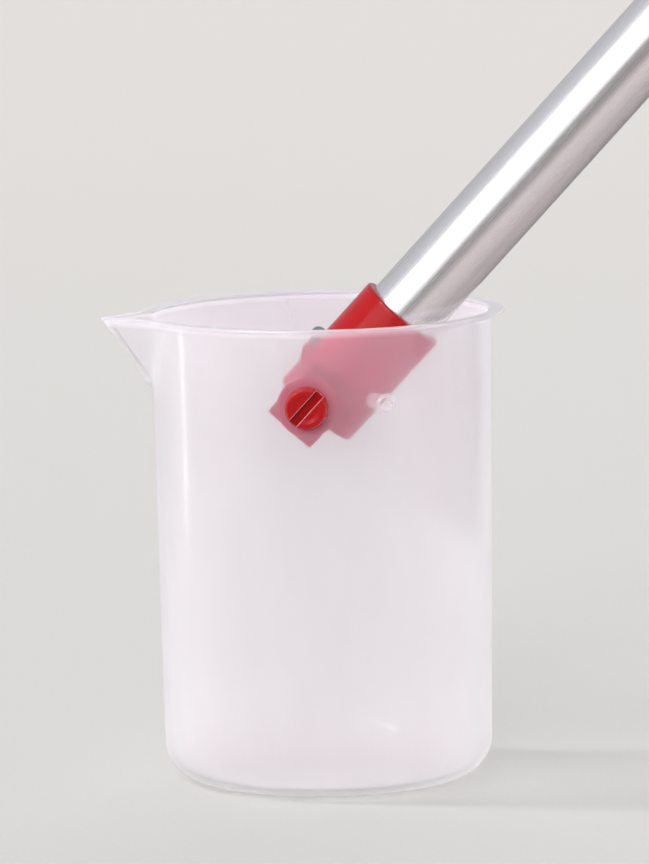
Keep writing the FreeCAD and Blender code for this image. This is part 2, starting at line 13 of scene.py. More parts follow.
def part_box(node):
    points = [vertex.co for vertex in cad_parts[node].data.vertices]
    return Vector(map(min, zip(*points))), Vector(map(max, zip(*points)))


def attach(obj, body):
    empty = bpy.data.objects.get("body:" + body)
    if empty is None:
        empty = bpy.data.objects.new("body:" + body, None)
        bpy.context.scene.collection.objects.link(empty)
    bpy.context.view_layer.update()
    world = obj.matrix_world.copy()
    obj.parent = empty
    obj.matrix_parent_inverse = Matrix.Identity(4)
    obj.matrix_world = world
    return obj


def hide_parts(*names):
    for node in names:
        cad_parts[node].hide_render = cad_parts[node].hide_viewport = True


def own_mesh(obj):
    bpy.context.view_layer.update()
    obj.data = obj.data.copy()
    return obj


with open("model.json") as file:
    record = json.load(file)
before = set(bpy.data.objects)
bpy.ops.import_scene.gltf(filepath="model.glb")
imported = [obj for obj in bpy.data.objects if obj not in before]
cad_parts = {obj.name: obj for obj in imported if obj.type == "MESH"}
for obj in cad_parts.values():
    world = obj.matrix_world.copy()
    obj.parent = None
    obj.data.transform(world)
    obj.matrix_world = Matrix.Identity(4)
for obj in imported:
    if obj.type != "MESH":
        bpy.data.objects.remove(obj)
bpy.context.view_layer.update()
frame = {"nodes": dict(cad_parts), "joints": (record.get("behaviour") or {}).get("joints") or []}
JOINTS = {joint["name"]: joint for joint in frame["joints"]}
PIVOT = Vector(JOINTS["beaker_tilt"]["pos_m"])
POLE_AXIS = Vector(JOINTS["pole_extend"]["axis"]).normalized()
POLE_TILT = math.atan2(POLE_AXIS.x, POLE_AXIS.z)
MM = 0.001

# Beaker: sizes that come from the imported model
BEAKER_TOP_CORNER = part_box("beaker")[1]
RIM_RADIUS = BEAKER_TOP_CORNER.y
BEAKER_HEIGHT = BEAKER_TOP_CORNER.z - 0.5 * MM

# Beaker: wall, rim and mouth
BODY_TOP_RADIUS = RIM_RADIUS - 3.7 * MM
BODY_BASE_RADIUS = RIM_RADIUS - 5.7 * MM
BASE_CORNER = 12.4 * MM
WALL = 1.6 * MM
FLOOR = 2.0 * MM
RIM_THICKNESS = 1.1 * MM
RIM_ROUND = 0.45 * MM
RIM_FILLET = 0.6 * MM
MOUTH_ROUND = 1.5 * MM

# Beaker: the spout, a pinched beak that points away from the screw's right-hand side
SPOUT_AZIMUTH = math.radians(193.8)
SPOUT_REACH = 68.0 * MM
SPOUT_HALF_ANGLE = math.radians(43.0)
SPOUT_ROOT_Z = 120.5 * MM
SPOUT_ROOT_RADIUS = 51.6 * MM
SPOUT_WALL_SHIFT = 2.2 * MM
SPOUT_BLEND = 0.9 * MM
SPOUT_KEEL_ROUND = math.radians(1.1)
RIM_FADE_START = math.radians(11.5)
RIM_FADE_END = math.radians(22.0)
SPOUT_END = math.radians(34.0)

# Beaker: the thinner rim along the spout
SPOUT_RIM_THICKNESS = 0.9 * MM
SPOUT_RIM_FILLET = 0.12 * MM
SPOUT_RIM_ROUND = 0.3 * MM
SPOUT_MOUTH_ROUND = 0.35 * MM
SPOUT_FLANGE = 0.45 * MM

# Beaker: how finely the mesh follows the shape
LEVELS_BELOW = 10
LEVELS_NEAR_SPOUT = 22
SPOUT_MESH_LOW = 0.112
SPOUT_MESH_HIGH = 0.1415
CORNER_STEPS = 14
SPOUT_STEP = math.radians(0.5)
SPOUT_STEPS_EACH_SIDE = 56
STEPS_ROUND_BODY = 200
BEAKER_SHARP_ANGLE = 50.0

SCREW_HOLE_RADIUS = 3.05 * MM
PEG_HOLE_RADIUS = 2.0 * MM
PEG_AZIMUTH = math.radians(-63.0)

# Clamp screw
SCREW_RADIUS = 3.0 * MM
SCREW_HEAD_HEIGHT = 3.4 * MM
SCREW_HEAD_TAPER = 0.8 * MM
DISH_RADIUS = 4.1 * MM
DISH_DEPTH = 0.5 * MM
SLOT_WIDTH = 2.9 * MM
SLOT_DEPTH = 2.2 * MM
SCREW_SEGMENTS = 96
BAR_SEGMENTS = 48

# Camera
CAMERA_AZIMUTH = math.radians(5.3)
CAMERA_ELEVATION = math.radians(7.42)
CAMERA_ROLL = math.radians(-1.03)
CAMERA_DISTANCE = 2.7
CAMERA_LENS = 366.3
AIM = Vector((0.0004, 0.0, 0.1067))
TRANSPARENT_BOUNCES = 24


# ---- meshes ----

def mesh_object(name, vertices, faces, sharp_angle=35.0):
    """New smooth-shaded object; edges sharper than the angle stay crisp."""
    mesh = bpy.data.meshes.new(name)
    mesh.from_pydata(vertices, [], faces)
    mesh.validate()
    piece = bpy.data.objects.new(name, mesh)
    bpy.context.scene.collection.objects.link(piece)
    shade(mesh, sharp_angle)
    return piece


def shade(mesh, sharp_angle):
    """Smooth shading with crisp edges above an angle."""
    for face in mesh.polygons:
        face.use_smooth = True
    mesh.set_sharp_from_angle(angle=math.radians(sharp_angle))


def ring_surface(rings):
    """Vertices and quads that join rings of equal length; each end is closed by one face."""
    count = len(rings[0])
    vertices = [point for ring in rings for point in ring]
    faces = []
    for level in range(len(rings) - 1):
        low, high = level * count, (level + 1) * count
        for i in range(count):
            j = (i + 1) % count
            faces.append((low + i, low + j, high + j, high + i))
    faces.append(tuple(reversed(range(count))))
    faces.append(tuple(range(len(vertices) - count, len(vertices))))
    return vertices, faces


def bar(name, radius, start, end):
    """Round bar between two points, used as a cutter."""
    axis = end - start
    turn = Vector((0, 0, 1)).rotation_difference(axis.normalized()).to_matrix()
    rings = []
    for centre in (start, end):
        rings.append([
            centre + turn @ Vector((radius * math.cos(a), radius * math.sin(a), 0))
            for a in (2 * math.pi * i / BAR_SEGMENTS for i in range(BAR_SEGMENTS))
        ])
    vertices, faces = ring_surface(rings)
    return mesh_object(name, vertices, faces)


def cut(piece, cutters):
    """Subtract the cutters from the piece's mesh and remove them."""
    for cutter in cutters:
        modifier = piece.modifiers.new("cut", "BOOLEAN")
        modifier.operation = "DIFFERENCE"
        modifier.solver = "EXACT"
        modifier.object = cutter
    graph = bpy.context.evaluated_depsgraph_get()
    mesh = bpy.data.meshes.new_from_object(piece.evaluated_get(graph))
    piece.modifiers.clear()
    old = piece.data
    piece.data = mesh
    bpy.data.meshes.remove(old)
    for cutter in cutters:
        bpy.data.objects.remove(cutter)


# ---- beaker ----

def smooth_step(value, start, end):
    """0 before start, 1 after end, smooth between."""
    t = min(1.0, max(0.0, (value - start) / (end - start)))
    return t * t * (3 - 2 * t)


def smooth_larger(a, b, width):
    """The larger of two lengths, with a soft change from one to the other."""
    return (a + b + math.sqrt((a - b) ** 2 + width ** 2)) / 2


def body_radius(z):
    """Outside radius of the round body, which widens a little upwards."""
    share = (z - BASE_CORNER) / (BEAKER_HEIGHT - RIM_THICKNESS - BASE_CORNER)
    return BODY_BASE_RADIUS + (BODY_TOP_RADIUS - BODY_BASE_RADIUS) * share


def wall_radius(away, z, inward, shift):
    """Wall's radius at an angle away from the spout's middle, with the beak drawn out of the body."""
    tip = SPOUT_ROOT_RADIUS - shift + (SPOUT_REACH - SPOUT_ROOT_RADIUS) * (
        (z - SPOUT_ROOT_Z) / (BEAKER_HEIGHT - SPOUT_ROOT_Z))
    round_wall = body_radius(z) - inward
    if away > SPOUT_END:
        return round_wall
    turned = math.sqrt(away * away + SPOUT_KEEL_ROUND ** 2) - SPOUT_KEEL_ROUND
    beak = tip * math.sin(SPOUT_HALF_ANGLE) / math.sin(SPOUT_HALF_ANGLE + turned)
    return smooth_larger(round_wall, beak, SPOUT_BLEND * (1 - smooth_step(away, RIM_FADE_END, SPOUT_END)))


def outer_radius(away, z):
    """Outside radius at an angle away from the spout's middle."""
    return wall_radius(away, z, 0.0, 0.0)


def inner_radius(away, z):
    """Inside radius at an angle away from the spout's middle."""
    return wall_radius(away, z, WALL, SPOUT_WALL_SHIFT)


def arc(centre_r, centre_z, radius, start, end, steps):
    """Points on an arc in the section, angles in degrees from outwards towards up, ends included."""
    points = []
    for i in range(steps + 1):
        turn = math.radians(start + (end - start) * i / steps)
        points.append((centre_r + radius * math.cos(turn), centre_z + radius * math.sin(turn)))
    return points


def levels(low, high, count):
    """Evenly spaced heights without the ends."""
    return [low + (high - low) * i / (count + 1) for i in range(1, count + 1)]


def between(first, second, share):
    """Length part of the way from the first to the second."""
    return first + (second - first) * share


def beaker_section(away):
    """Section at an angle away from the spout's middle, from the base round to the inner floor."""
    fade = smooth_step(away, RIM_FADE_START, RIM_FADE_END)
    top = BEAKER_HEIGHT
    under = top - between(SPOUT_RIM_THICKNESS, RIM_THICKNESS, fade)
    fillet = between(SPOUT_RIM_FILLET, RIM_FILLET, fade)
    edge = between(SPOUT_RIM_ROUND, RIM_ROUND, fade)
    mouth = between(SPOUT_MOUTH_ROUND, MOUTH_ROUND, fade)
    flange = between(SPOUT_FLANGE, RIM_RADIUS - BODY_TOP_RADIUS, fade)
    heights = levels(BASE_CORNER, SPOUT_MESH_LOW, LEVELS_BELOW)
    heights += levels(SPOUT_MESH_LOW, SPOUT_MESH_HIGH, LEVELS_NEAR_SPOUT)

    base_edge = BODY_BASE_RADIUS - BASE_CORNER
    points = [(base_edge * share, 0.0) for share in (0.25, 0.5, 0.75, 0.9)]
    points += arc(base_edge, BASE_CORNER, BASE_CORNER, -90, 0, CORNER_STEPS)
    points += [(outer_radius(away, z), z) for z in heights]
    wall_end = outer_radius(away, under - fillet)
    points += arc(wall_end + fillet, under - fillet, fillet, 180, 90, 5)
    rim_edge = max(outer_radius(away, under), wall_end) + flange
    if away > RIM_FADE_END:
        rim_edge = RIM_RADIUS
    points += arc(rim_edge - edge, under + edge, edge, -90, 0, 5)
    points += arc(rim_edge - edge, top - edge, edge, 0, 90, 5)
    mouth_edge = inner_radius(away, top - mouth)
    points += arc(mouth_edge + mouth, top - mouth, mouth, 90, 180, 6)
    points += [(inner_radius(away, z), z) for z in reversed(heights)]
    inner_corner = BASE_CORNER - WALL
    inner_edge = BODY_BASE_RADIUS - WALL - inner_corner
    points += arc(inner_edge, FLOOR + inner_corner, inner_corner, 0, -90, CORNER_STEPS)
    points += [(inner_edge * share, FLOOR) for share in (0.9, 0.75, 0.5, 0.25)]
    return points


def beaker_angles():
    """Angles round the beaker from the spout's middle, closer together across the spout."""
    near = [SPOUT_STEP * i for i in range(-SPOUT_STEPS_EACH_SIDE, SPOUT_STEPS_EACH_SIDE)]
    start, end = near[-1] + SPOUT_STEP, 2 * math.pi + near[0]
    return near + [start + (end - start) * i / STEPS_ROUND_BODY for i in range(STEPS_ROUND_BODY)]


def make_beaker():
    """Moulded translucent beaker as one closed shell with holes for the screw and the stop peg."""
    angles = beaker_angles()
    sections = []
    for angle in angles:
        away = abs((angle + math.pi) % (2 * math.pi) - math.pi)
        sections.append(beaker_section(away))
    rings = []
    for i in range(len(sections[0])):
        rings.append([
            Vector((section[i][0] * math.cos(SPOUT_AZIMUTH + angle),
                    section[i][0] * math.sin(SPOUT_AZIMUTH + angle), section[i][1]))
            for section, angle in zip(sections, angles)
        ])
    vertices, faces = ring_surface(rings)
    shell = mesh_object("beaker_shell", vertices, faces, BEAKER_SHARP_ANGLE)
    peg_way = Vector((math.cos(PEG_AZIMUTH), math.sin(PEG_AZIMUTH), 0))
    peg_low, peg_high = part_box("stop_peg")
    peg_foot = Vector((0, 0, (peg_low.z + peg_high.z) / 2))
    cut(shell, [
        bar("screw_hole", SCREW_HOLE_RADIUS, Vector((0, -0.06, PIVOT.z)), Vector((0, -0.04, PIVOT.z))),
        bar("peg_hole", PEG_HOLE_RADIUS, peg_foot + peg_way * 0.044, peg_foot + peg_way * 0.060),
    ])
    shade(shell.data, BEAKER_SHARP_ANGLE)
    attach(shell, "beaker")
    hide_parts("beaker")
    return shell


# ---- clamp screw ----

def make_clamp_screw():
    """Clamp screw: a coned head with rounded edges, a dished face and one wide slot, on a plain shank."""
    low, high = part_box("pivot_screw")
    radius = high.x
    face, end = low.y, high.y
    seat = face + SCREW_HEAD_HEIGHT
    face_radius = radius - SCREW_HEAD_TAPER
    section = [(0.0, face + DISH_DEPTH), (DISH_RADIUS - 0.9 * MM, face + DISH_DEPTH)]
    section += [(DISH_RADIUS + r, face + y) for r, y in (
        (-0.45 * MM, DISH_DEPTH), (-0.22 * MM, DISH_DEPTH * 0.8), (-0.05 * MM, DISH_DEPTH * 0.35),
        (0.08 * MM, DISH_DEPTH * 0.1), (0.3 * MM, 0.0))]
    section += [(face_radius - 0.55 * MM, face), (face_radius - 0.3 * MM, face + 0.03 * MM)]
    section += [(face_radius - 0.1 * MM, face + 0.13 * MM), (face_radius + 0.04 * MM, face + 0.34 * MM)]
    section += [(face_radius + 0.1 * MM, face + 0.6 * MM), (radius - 0.12 * MM, seat - 0.5 * MM)]
    section += [(radius, seat - 0.25 * MM), (radius - 0.12 * MM, seat - 0.04 * MM)]
    section += [(radius - 0.4 * MM, seat)]
    section += [(SCREW_RADIUS + 0.2 * MM, seat), (SCREW_RADIUS, seat + 0.2 * MM)]
    section += [(SCREW_RADIUS, end - 0.4 * MM), (SCREW_RADIUS - 0.4 * MM, end), (0.0, end)]
    rings = []
    for r, y in section[1:-1]:
        rings.append([
            Vector((r * math.cos(a), y, PIVOT.z + r * math.sin(a)))
            for a in (-2 * math.pi * i / SCREW_SEGMENTS for i in range(SCREW_SEGMENTS))
        ])
    vertices, faces = ring_surface(rings)
    screw = mesh_object("clamp_screw", vertices, faces, 60.0)
    across = Vector((math.cos(POLE_TILT), 0, -math.sin(POLE_TILT))) * SLOT_WIDTH / 2
    along = POLE_AXIS * radius * 1.3
    corners = [
        Vector((0, y, PIVOT.z)) + across * i + along * j
        for y in (face - 1 * MM, face + SLOT_DEPTH)
        for i, j in ((-1, -1), (1, -1), (1, 1), (-1, 1))
    ]
    slot_faces = [(0, 1, 2, 3), (7, 6, 5, 4), (0, 4, 5, 1), (1, 5, 6, 2), (2, 6, 7, 3), (3, 7, 4, 0)]
    cut(screw, [mesh_object("slot", corners, slot_faces)])
    shade(screw.data, 35.0)
    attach(screw, "clamp_screw")
    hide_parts("pivot_screw")
    return screw


# ---- button spring ----

def make_leaf_spring():
    """Leaf spring behind the snap button: a copy of the CAD spring that moves with the arm."""
    joint = JOINTS["snap_button_press"]
    press = Vector(joint["axis"]).normalized()
    node = frame["nodes"]["button_spring"]
    mesh = node.data.copy()
    mesh.transform(node.matrix_world)
    spring = bpy.data.objects.new("leaf_spring", mesh)
    bpy.context.scene.collection.objects.link(spring)
    far = max((vertex.co for vertex in mesh.vertices), key=press.dot)
    near = min((vertex.co for vertex in mesh.vertices), key=press.dot)
    opening = press.dot(far - near)
    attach(spring, "arm")
    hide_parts("button_spring")
    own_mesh(spring)
    return spring


# ---- materials ----

WHITE = (1, 1, 1, 1)
BLACK = (0, 0, 0, 1)

# Beaker's wall
SKIN_CHANGE = 0.004
MILK_DENSITY = (0.27, 0.315)
RIM_MILK = 2.4
MILK_PASSED_ON = 0.6
MILK_FRONT_TONE = (1.0, 0.87, 1.0, 1.0)
MILK_EDGE_TONE = (1.0, 0.95, 1.0, 1.0)
MILK_BACK_TONE = (0.97, 1.0, 1.0, 1.0)
MILK_BASE_SHADE_TONE = (0.3, 0.3, 0.3, 1.0)
CLEAR_TINT = (0.985, 0.984, 0.984, 1.0)
SHADOW_TINT = (0.942, 0.936, 0.928, 1.0)
MOUTH_SHADE_TINT = (0.90, 0.855, 0.905, 1.0)
WALL_IOR = 1.2
WALL_BLUR = (0.12, 0.6)

# Red plastic: painted extra light and a painted bluer cast where it is seen through the beaker's wall
BEHIND_WALL_PAINTED_LIGHT = (1.22, 1, 1, 1)
BEHIND_WALL_PAINTED_BLUE = (0, 0, 0.06, 1)
MOULDED_EDGE = 0.00025


class Graph:
    """Short way to build a node tree."""

    def __init__(self, tree):
        self.tree = tree
        tree.nodes.clear()

    def add(self, kind, inputs=None, **settings):
        """New shader node. An input is a value or another node's output."""
        node = self.tree.nodes.new("ShaderNode" + kind)
        for name, value in settings.items():
            setattr(node, name, value)
        for name, value in (inputs or {}).items():
            if isinstance(value, bpy.types.NodeSocket):
                self.tree.links.new(value, node.inputs[name])
            else:
                node.inputs[name].default_value = value
        return node

    def math(self, operation, a, b=0.0, clamp=False):
        """One arithmetic step."""
        return self.add("Math", {0: a, 1: b}, operation=operation, use_clamp=clamp).outputs[0]

    def product(self, *values):
        """Product of two or more values."""
        result = values[0]
        for value in values[1:]:
            result = self.math("MULTIPLY", result, value)
        return result

    def rest(self, value):
        """What is left of 1."""
        return self.math("SUBTRACT", 1.0, value)

    def vector(self, operation, first, second):
        """Node for one step of vector arithmetic."""
        return self.add("VectorMath", {0: first, 1: second}, operation=operation)

    def dot(self, first, second):
        """Dot product."""
        return self.vector("DOT_PRODUCT", first, second).outputs["Value"]

    def mix(self, factor, first, second):
        """Mix of two shaders."""
        return self.add("MixShader", {0: factor, 1: first, 2: second}).outputs[0]

    def blend(self, factor, first, second):
        """Mix of two colours."""
        node = self.add("Mix", {"Factor": factor}, data_type="RGBA")
        for socket, value in ((node.inputs[6], first), (node.inputs[7], second)):
            if isinstance(value, bpy.types.NodeSocket):
                self.tree.links.new(value, socket)
            else:
                socket.default_value = value
        return node.outputs[2]

    def noise(self, vector, scale, detail=2.0, roughness=0.5):
        """Grey noise."""
        inputs = {"Vector": vector, "Scale": scale, "Detail": detail, "Roughness": roughness}
        return self.add("TexNoise", inputs).outputs[0]

    def ramp(self, value, low, high, to_low=0.0, to_high=1.0):
        """Value moved from one range to another, clamped."""
        inputs = {0: value, 1: low, 2: high, 3: to_low, 4: to_high}
        return self.add("MapRange", inputs, clamp=True).outputs[0]

    def place(self):
        """Position on the piece in the CAD frame."""
        return self.add("TexCoord").outputs["Object"]

    def pole_place(self):
        """Position turned so that Z runs along the pole."""
        inputs = {"Vector": self.place(), "Rotation": (0.0, -POLE_TILT, 0.0)}
        return self.add("Mapping", inputs, vector_type="POINT").outputs[0]

    def stretch(self, vector, scale):
        """Position scaled by axis."""
        return self.add("Mapping", {"Vector": vector, "Scale": scale}, vector_type="POINT").outputs[0]

    def facing(self):
        """1 where the surface faces the viewer, 0 where it is seen edge on."""
        geometry = self.add("NewGeometry")
        return self.math("ABSOLUTE", self.dot(geometry.outputs["Incoming"], geometry.outputs["Normal"]))

    def skin(self, place):
        """Two masks: the beaker's outer face, and the same face where it is entered from outside."""
        geometry = self.add("NewGeometry")
        leaving = geometry.outputs["Backfacing"]
        middle = (0.0, 0.0, BEAKER_HEIGHT / 2)
        outwards = self.vector("SUBTRACT", place, middle).outputs[0]
        along = self.dot(outwards, geometry.outputs["Normal"])
        true_side = self.rest(self.product(leaving, 2.0))
        outer = self.ramp(self.product(along, true_side), -SKIN_CHANGE, SKIN_CHANGE)
        return outer, self.product(outer, self.rest(leaving))

    def edge_light(self, radius):
        """1 along sharp edges, 0 on plain faces."""
        same = self.dot(self.bevel(radius), self.add("NewGeometry").outputs["Normal"])
        return self.ramp(same, 0.80, 0.98, 1.0, 0.0)

    def bump(self, height, distance, normal=None, strength=1.0):
        """Bumped normal, distance in metres."""
        inputs = {"Height": height, "Distance": distance, "Strength": strength}
        if normal is not None:
            inputs["Normal"] = normal
        return self.add("Bump", inputs).outputs[0]

    def bevel(self, radius):
        """Normal that rounds off sharp edges, in metres."""
        return self.add("Bevel", {"Radius": radius}, samples=4).outputs[0]

    def finish(self, shader):
        """Connect a shader to the output."""
        output = self.add("OutputMaterial")
        self.tree.links.new(shader, output.inputs["Surface"])


def new_material(name):
    """Empty material and its graph."""
    material = bpy.data.materials.new(name)
    material.use_nodes = True
    return material, Graph(material.node_tree)


def milk_share(g, place, height, outer, facing, shadow):
    """Share of the light that the milk takes: all of it lies on the outer skin."""
    cloud = g.noise(g.stretch(place, (1.0, 1.0, 0.45)), 45.0, 3.0)
    density = g.ramp(cloud, 0.3, 0.7, *MILK_DENSITY)
    rim = g.ramp(height, BEAKER_HEIGHT - 3.0 * MM, BEAKER_HEIGHT - 1.4 * MM, 1.0, RIM_MILK)
    forward = g.rest(g.product(shadow, MILK_PASSED_ON))
    density = g.product(density, rim, forward)
    path = g.math("DIVIDE", density, g.math("MAXIMUM", facing, 0.06))
    return g.product(outer, g.rest(g.math("EXPONENT", g.product(path, -1.0))))


def wall_normal(g, place):
    """Slightly uneven wall with a fine moulded grain."""
    ripple = g.noise(g.stretch(place, (1.0, 1.0, 0.25)), 60.0, 2.0)
    grain = g.noise(place, 900.0, 2.0)
    return g.bump(grain, 0.00003, g.bump(ripple, 0.0004, strength=0.25), 0.5)


def light_through(g, light, outer, entering, normal):
    """What is seen through the wall: blurred, except straight through the mouth, where a painted shade tint
    darkens it.
    """
    camera = light.outputs["Is Camera Ray"]
    first = g.math("LESS_THAN", light.outputs["Transparent Depth"], 0.5)
    # Painted shade: the inner face seen straight through the mouth darkens what lies behind it.
    mouth = g.product(camera, first, g.rest(outer))
    tint = g.blend(light.outputs["Is Shadow Ray"], CLEAR_TINT, SHADOW_TINT)
    clear = g.add("BsdfTransparent", {"Color": g.blend(mouth, tint, MOUTH_SHADE_TINT)}).outputs[0]
    bends = []
    for rough in WALL_BLUR:
        inputs = {"Color": CLEAR_TINT, "Roughness": rough, "IOR": WALL_IOR, "Normal": normal}
        bends.append(g.add("BsdfRefraction", inputs).outputs[0])
    blurred = g.mix(g.product(entering, 0.4), *bends)
    blur_share = g.math("MAXIMUM", light.outputs["Is Transmission Ray"], g.product(camera, entering, 0.7))
    return g.mix(blur_share, clear, blurred)


def milk(g, height, facing, normal):
    """The milk itself: pale pink where it faces the viewer, whiter edge on, with painted shade that darkens
    it towards the base.
    """
    # Painted shade: the milk turns up to a tenth greyer in the lowest 18 mm.
    low = g.ramp(height, 0.0, 18 * MM, 0.10, 0.0)
    front_tone = g.blend(g.ramp(facing, 0.3, 0.75), MILK_EDGE_TONE, MILK_FRONT_TONE)
    front_tone = g.blend(low, front_tone, MILK_BASE_SHADE_TONE)
    back_tone = g.blend(low, MILK_BACK_TONE, MILK_BASE_SHADE_TONE)
    front = g.add("BsdfDiffuse", {"Color": front_tone, "Normal": normal}).outputs[0]
    back = g.add("BsdfTranslucent", {"Color": back_tone, "Normal": normal}).outputs[0]
    return g.mix(0.55, front, back)


def polypropylene():
    """Milky see-through wall that is milkier where it is seen edge on."""
    material, g = new_material("translucent_polypropylene")
    light = g.add("LightPath")
    shadow = light.outputs["Is Shadow Ray"]
    place = g.place()
    height = g.add("SeparateXYZ", {0: place}).outputs["Z"]
    outer, entering = g.skin(place)
    facing = g.facing()
    normal = wall_normal(g, place)
    milky = milk_share(g, place, height, outer, facing, shadow)
    through = light_through(g, light, outer, entering, normal)
    body = g.mix(milky, through, milk(g, height, facing, normal))

    glancing = g.math("POWER", g.rest(facing), 5.0)
    rim_shine = g.ramp(height, BEAKER_HEIGHT - 2.0 * MM, BEAKER_HEIGHT - 1.2 * MM, 0.035, 0.10)
    shine_share = g.math("ADD", rim_shine, g.product(glancing, 0.5))
    shine_share = g.product(shine_share, g.rest(shadow), g.ramp(entering, 0.0, 1.0, 0.35, 1.0))
    rough = g.ramp(g.noise(place, 120.0, 2.0), 0.3, 0.7, 0.12, 0.20)
    shine = g.add("BsdfGlossy", {"Roughness": rough, "Normal": normal, "Color": WHITE}).outputs[0]
    g.finish(g.mix(shine_share, body, shine))
    return material


def moulded(name, colour, deeper, roughness, texture=0.00002, shine=0.5, edge_highlight_colour=None):
    """Moulded plastic with slight flow marks, fine orange peel and softened edges."""
    material, g = new_material(name)
    place = g.place()
    flow = g.noise(place, 90.0, 4.0, 0.6)
    rough = g.ramp(g.noise(place, 260.0, 3.0), 0.3, 0.75, roughness * 0.8, roughness * 1.3)
    normal = g.bump(g.noise(place, 1400.0, 2.0), texture, g.bevel(MOULDED_EDGE), 0.6)
    tone = g.blend(g.ramp(flow, 0.35, 0.7), deeper, colour)
    # Painted highlights on sharp edges and painted shade in hollows, when an edge highlight colour is given.
    if edge_highlight_colour:
        tone, shine = painted_edge_highlights_and_hollow_shade(g, tone, deeper, shine, edge_highlight_colour)
    inputs = {
        "Base Color": tone,
        "Roughness": rough,
        "IOR": 1.5,
        "Specular IOR Level": shine,
        "Normal": normal,
    }
    g.finish(g.add("BsdfPrincipled", inputs).outputs[0])
    return material


def painted_edge_highlights_and_hollow_shade(g, tone, deeper, shine, edge_highlight_colour):
    """Painted shade in hollows (darker tone, less shine), painted highlights along sharp edges, and painted
    extra light with a bluer cast on the red seen through the beaker's wall. Returns tone and shine.
    """
    # Painted shade: the tone is darkened and the shine lowered where ambient occlusion finds hollows.
    hollow = g.add("AmbientOcclusion", {"Distance": 0.003}, samples=4, only_local=True).outputs["AO"]
    unshaded_share = g.ramp(hollow, 0.35, 0.8)
    painted_hollow_shade_tone = tuple(0.7 * part for part in deeper[:3]) + (1,)
    tone = g.blend(unshaded_share, painted_hollow_shade_tone, tone)
    # Painted light: the red is brighter and bluer only where it is seen through the beaker's wall.
    behind_wall = g.add("LightPath").outputs["Is Transmission Ray"]
    tone = g.vector("MULTIPLY", tone, g.blend(behind_wall, WHITE, BEHIND_WALL_PAINTED_LIGHT)).outputs[0]
    tone = g.vector("ADD", tone, g.blend(behind_wall, BLACK, BEHIND_WALL_PAINTED_BLUE)).outputs[0]
    # Painted highlight: a pale pink tone along sharp edges.
    tone = g.blend(g.product(g.edge_light(0.00035), 0.8), tone, edge_highlight_colour)
    return tone, g.product(unshaded_share, shine)


def drawn_aluminium():
    """Satin drawn tube: fine lines along the pole, a little uneven in tone."""
    material, g = new_material("anodised_aluminium")
    pole = g.pole_place()
    lines = g.noise(g.stretch(pole, (1.0, 1.0, 0.012)), 5200.0, 2.0, 0.6)
    speckle = g.noise(g.stretch(pole, (1.0, 1.0, 0.3)), 3800.0, 2.0)
    patch = g.noise(g.stretch(pole, (1.0, 1.0, 0.2)), 60.0, 3.0)
    tone = g.blend(g.ramp(patch, 0.3, 0.7), (0.80, 0.79, 0.795, 1), (0.86, 0.855, 0.86, 1))
    tone = g.blend(g.ramp(speckle, 0.35, 0.75, 0.0, 0.35), tone, (0.70, 0.695, 0.70, 1))
    rough = g.ramp(lines, 0.3, 0.7, 0.20, 0.29)
    normal = g.bump(lines, 0.000004, strength=0.6)
    inputs = {"Base Color": tone, "Metallic": 1.0, "Roughness": rough, "Normal": normal}
    g.finish(g.add("BsdfPrincipled", inputs).outputs[0])
    return material


def metal(name, colour, darker, roughness):
    """Plain machined metal with fine turning marks."""
    material, g = new_material(name)
    place = g.place()
    marks = g.noise(g.stretch(place, (1.0, 0.15, 1.0)), 2600.0, 2.0)
    tone = g.blend(g.ramp(g.noise(place, 300.0, 3.0), 0.3, 0.7), darker, colour)
    normal = g.bump(marks, 0.000004, g.bevel(0.0001), 0.5)
    rough = g.ramp(marks, 0.3, 0.7, roughness * 0.8, roughness * 1.25)
    inputs = {"Base Color": tone, "Metallic": 1.0, "Roughness": rough, "Normal": normal}
    g.finish(g.add("BsdfPrincipled", inputs).outputs[0])
    return material


def clear_part(name, roughness, milk, tint):
    """Clear or slightly milky soft plastic, milkier and shinier where it is seen edge on."""
    material, g = new_material(name)
    place = g.place()
    normal = g.bump(g.noise(place, 500.0, 2.0), 0.00004, strength=0.3)
    facing = g.facing()
    clear = g.add("BsdfTransparent", {"Color": tint}).outputs[0]
    soft = g.mix(0.5, g.add("BsdfDiffuse", {"Color": tint, "Normal": normal}).outputs[0],
                 g.add("BsdfTranslucent", {"Color": tint, "Normal": normal}).outputs[0])
    share = g.ramp(g.noise(place, 250.0, 2.0), 0.3, 0.7, milk * 0.8, milk * 1.2)
    share = g.math("DIVIDE", share, g.math("MAXIMUM", facing, 0.15), clamp=True)
    body = g.mix(share, clear, soft)
    shadow = g.add("LightPath").outputs["Is Shadow Ray"]
    glancing = g.math("POWER", g.rest(facing), 3.0)
    shine_share = g.product(g.math("ADD", 0.06, g.product(glancing, 0.5)), g.rest(shadow))
    shine = g.add("BsdfGlossy", {"Roughness": roughness, "Normal": normal, "Color": WHITE}).outputs[0]
    g.finish(g.mix(shine_share, body, shine))
    return material


def grip_rubber():
    """Dark soft grip with a fine pebbled skin."""
    material, g = new_material("grip_rubber")
    place = g.place()
    pebble = g.add("TexVoronoi", {"Vector": place, "Scale": 1100.0}, feature="F1").outputs["Distance"]
    dust = g.noise(place, 60.0, 5.0, 0.65)
    normal = g.bump(pebble, 0.00012, g.bevel(0.0003), 0.5)
    tone = g.blend(g.ramp(dust, 0.45, 0.8), (0.018, 0.018, 0.02, 1), (0.045, 0.044, 0.045, 1))
    inputs = {"Base Color": tone, "Roughness": g.ramp(dust, 0.3, 0.8, 0.55, 0.75), "Normal": normal,
              "Sheen Weight": 0.15}
    g.finish(g.add("BsdfPrincipled", inputs).outputs[0])
    return material


